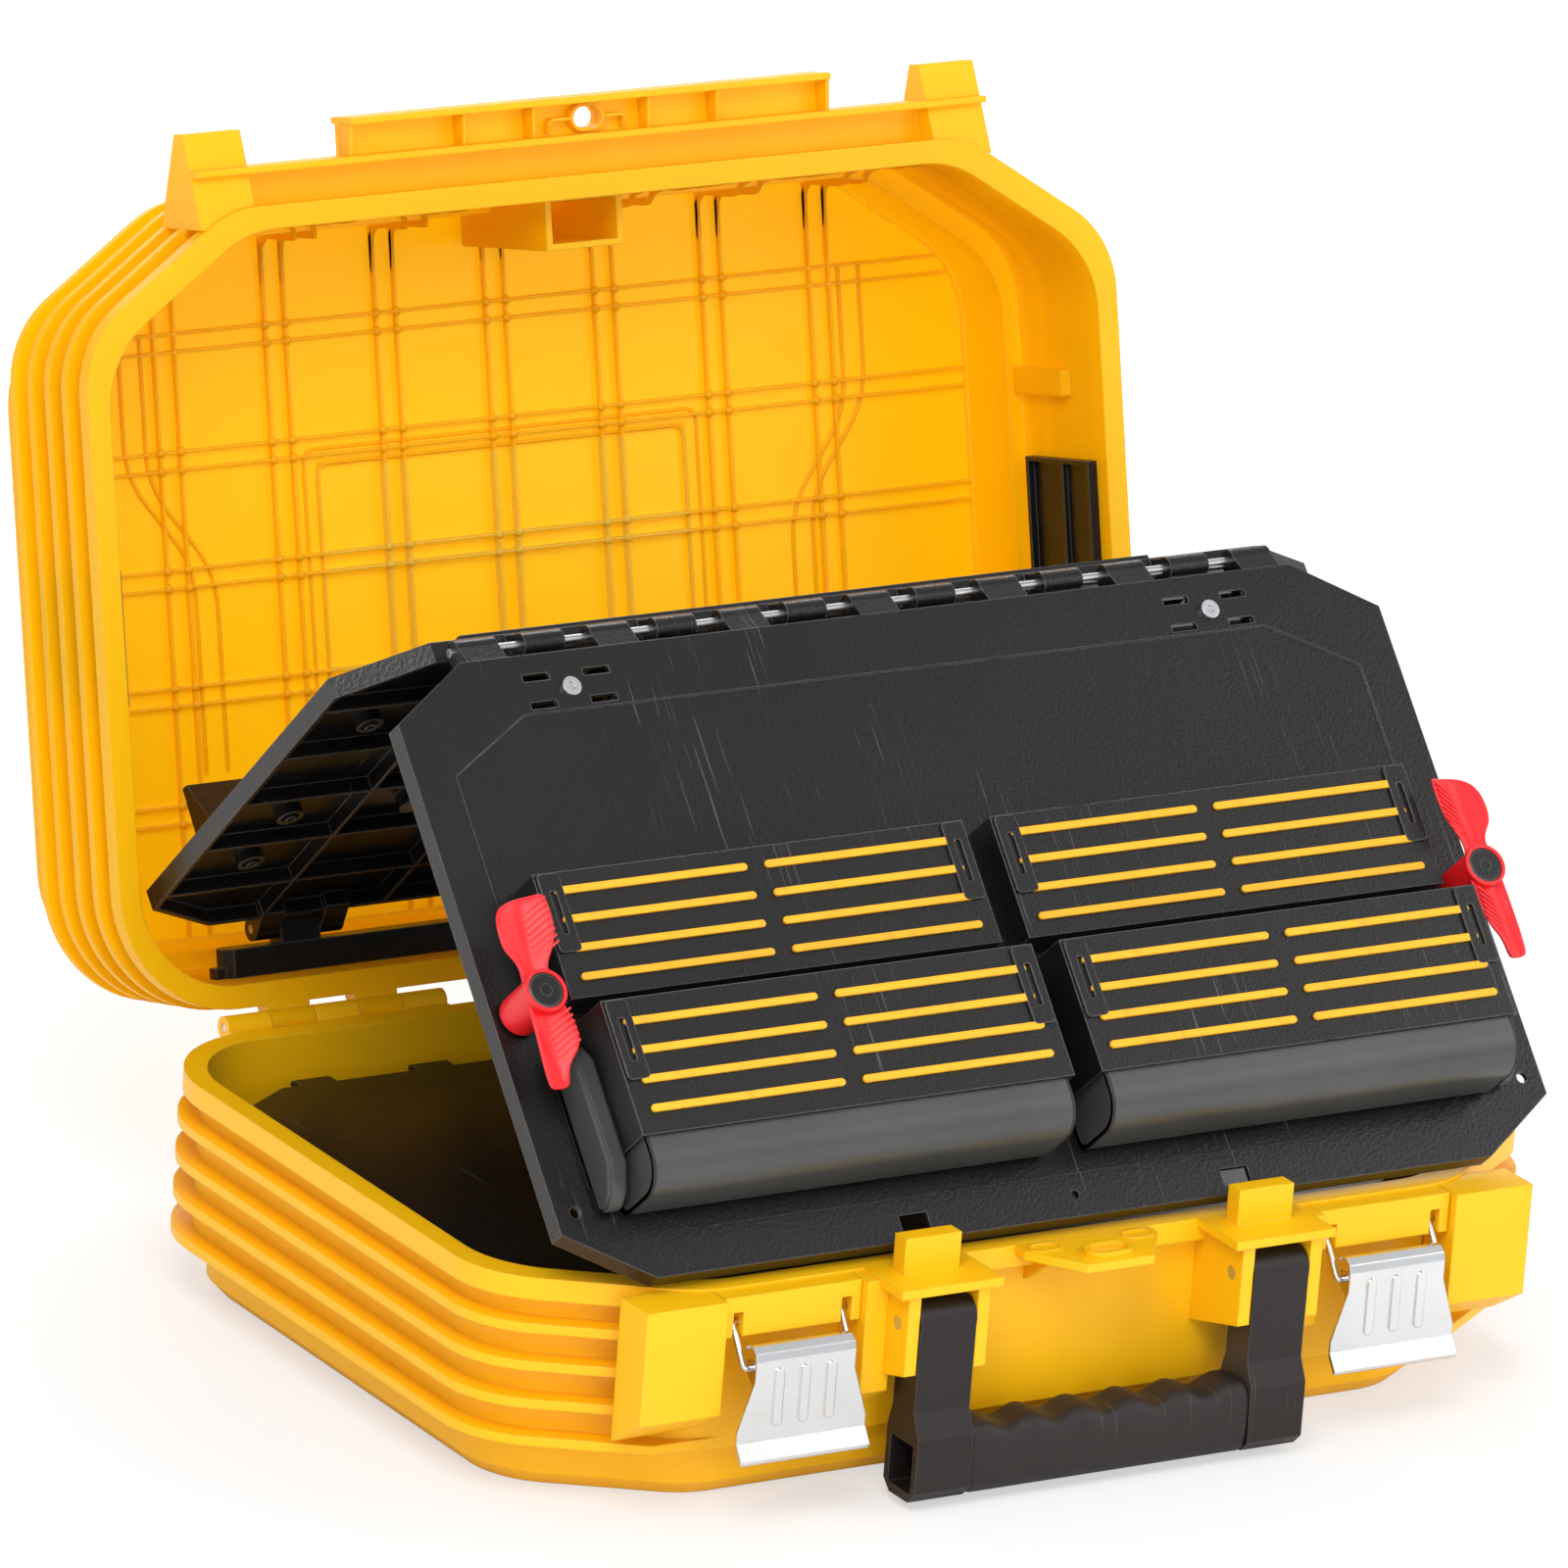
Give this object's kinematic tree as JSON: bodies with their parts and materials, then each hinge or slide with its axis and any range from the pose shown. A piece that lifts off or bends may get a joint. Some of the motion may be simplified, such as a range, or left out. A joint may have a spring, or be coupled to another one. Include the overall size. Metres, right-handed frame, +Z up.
{
  "type": "hard tool case",
  "caption": "Open hard plastic tool case with a tinted ribbed lid, tool panels hinged as a tent with pockets, a carrying handle and wire latches.",
  "frame": {"origin": "centre of the underside of the base", "axes": "+Z up, -Y towards the handle and latches, +X to the right when the handle faces the viewer"},
  "size_m": [0.54, 0.5836, 0.4838],
  "materials": {
    "base_plastic": "fine texture, scuffed",
    "lid_plastic": "translucent amber, satin",
    "panel_plastic": "pebbled, worn at the edges",
    "strip_yellow": "moulded grip strips",
    "clip_red": "satin",
    "cap_black": "satin",
    "tray_smoke": "smoke-grey translucent",
    "handle_plastic": "rubbed brown-black",
    "grip_soft": "soft overmould",
    "latch_zinc": "bright zinc plated",
    "rod_steel": "drawn rod",
    "screw_steel": "zinc plated"
  },
  "bodies": {
    "base": {"base_shell": "base_plastic", "latch_bosses": "base_plastic", "handle_mounts": "base_plastic", "front_buttresses": "base_plastic", "base_tool_panel": "panel_plastic", "base_panel_screws": "screw_steel", "lid_hinge_pins": "rod_steel", "handle_pins": "rod_steel"},
    "lid": {"lid_shell": "lid_plastic", "lid_clip_socket_left": "panel_plastic", "lid_clip_socket_right": "panel_plastic", "rear_pivot_bar": "panel_plastic"},
    "rear_leaf": {"rear_panel": "panel_plastic", "rear_ledge": "panel_plastic", "rear_pocket": "panel_plastic", "pivot_rods": "rod_steel"},
    "front_leaf": {"front_panel": "panel_plastic", "ridge_rod": "rod_steel", "panel_bolts": "screw_steel", "pocket_upper_left": "panel_plastic", "pocket_upper_right": "panel_plastic", "pocket_lower_left": "panel_plastic", "pocket_lower_right": "panel_plastic", "tool_tray_left": "tray_smoke", "tool_tray_right": "tray_smoke", "strips_upper_left": "strip_yellow", "strips_upper_right": "strip_yellow", "strips_lower_left": "strip_yellow", "strips_lower_right": "strip_yellow", "clip_cap_left": "cap_black", "clip_cap_right": "cap_black"},
    "clip_left": {"panel_clip_left": "clip_red"},
    "clip_right": {"panel_clip_right": "clip_red"},
    "handle": {"handle_frame": "handle_plastic", "handle_grip": "grip_soft"},
    "bail_left": {"latch_bail_left": "latch_zinc"},
    "bail_right": {"latch_bail_right": "latch_zinc"},
    "lever_left": {"latch_lever_left": "latch_zinc"},
    "lever_right": {"latch_lever_right": "latch_zinc"}
  },
  "joints": [
    {"name": "lid_hinge", "type": "hinge", "parent": "base", "child": "lid", "pos_m": [0, 0.184, 0.102], "axis": [1, 0, 0], "range_deg": [0, 54]},
    {"name": "rear_panel_pivot", "type": "hinge", "parent": "lid", "child": "rear_leaf", "pos_m": [0, 0.2223, 0.13161], "axis": [1, 0, 0], "range_deg": [-58, 0]},
    {"name": "ridge_hinge", "type": "hinge", "parent": "rear_leaf", "child": "front_leaf", "pos_m": [0, 0.031, 0.323], "axis": [1, 0, 0], "range_deg": [0, 10.5]},
    {"name": "clip_left_turn", "type": "hinge", "parent": "front_leaf", "child": "clip_left", "pos_m": [-0.24, -0.09204, 0.20239], "axis": [0, -0.7403, 0.6723], "range_deg": [-24, 0]},
    {"name": "clip_right_turn", "type": "hinge", "parent": "front_leaf", "child": "clip_right", "pos_m": [0.24, -0.09204, 0.20239], "axis": [0, -0.7403, 0.6723], "range_deg": [0, 24]},
    {"name": "handle_swing", "type": "hinge", "parent": "base", "child": "handle", "pos_m": [0, -0.198, 0.084], "axis": [1, 0, 0], "range_deg": [-95, 0]},
    {"name": "bail_left_swing", "type": "hinge", "parent": "base", "child": "bail_left", "pos_m": [-0.151, -0.181, 0.088], "axis": [1, 0, 0], "range_deg": [-80, 0]},
    {"name": "lever_left_turn", "type": "hinge", "parent": "bail_left", "child": "lever_left", "pos_m": [-0.151, -0.193, 0.071], "axis": [1, 0, 0], "range_deg": [-100, 0]},
    {"name": "bail_right_swing", "type": "hinge", "parent": "base", "child": "bail_right", "pos_m": [0.151, -0.181, 0.088], "axis": [1, 0, 0], "range_deg": [-80, 0]},
    {"name": "lever_right_turn", "type": "hinge", "parent": "bail_right", "child": "lever_right", "pos_m": [0.151, -0.193, 0.071], "axis": [1, 0, 0], "range_deg": [-100, 0]}
  ],
  "couplings": [
    {"joint": "rear_panel_pivot", "follows": "lid_hinge", "ratio": -1.05},
    {"joint": "ridge_hinge", "follows": "lid_hinge", "ratio": 0.1875}
  ]
}
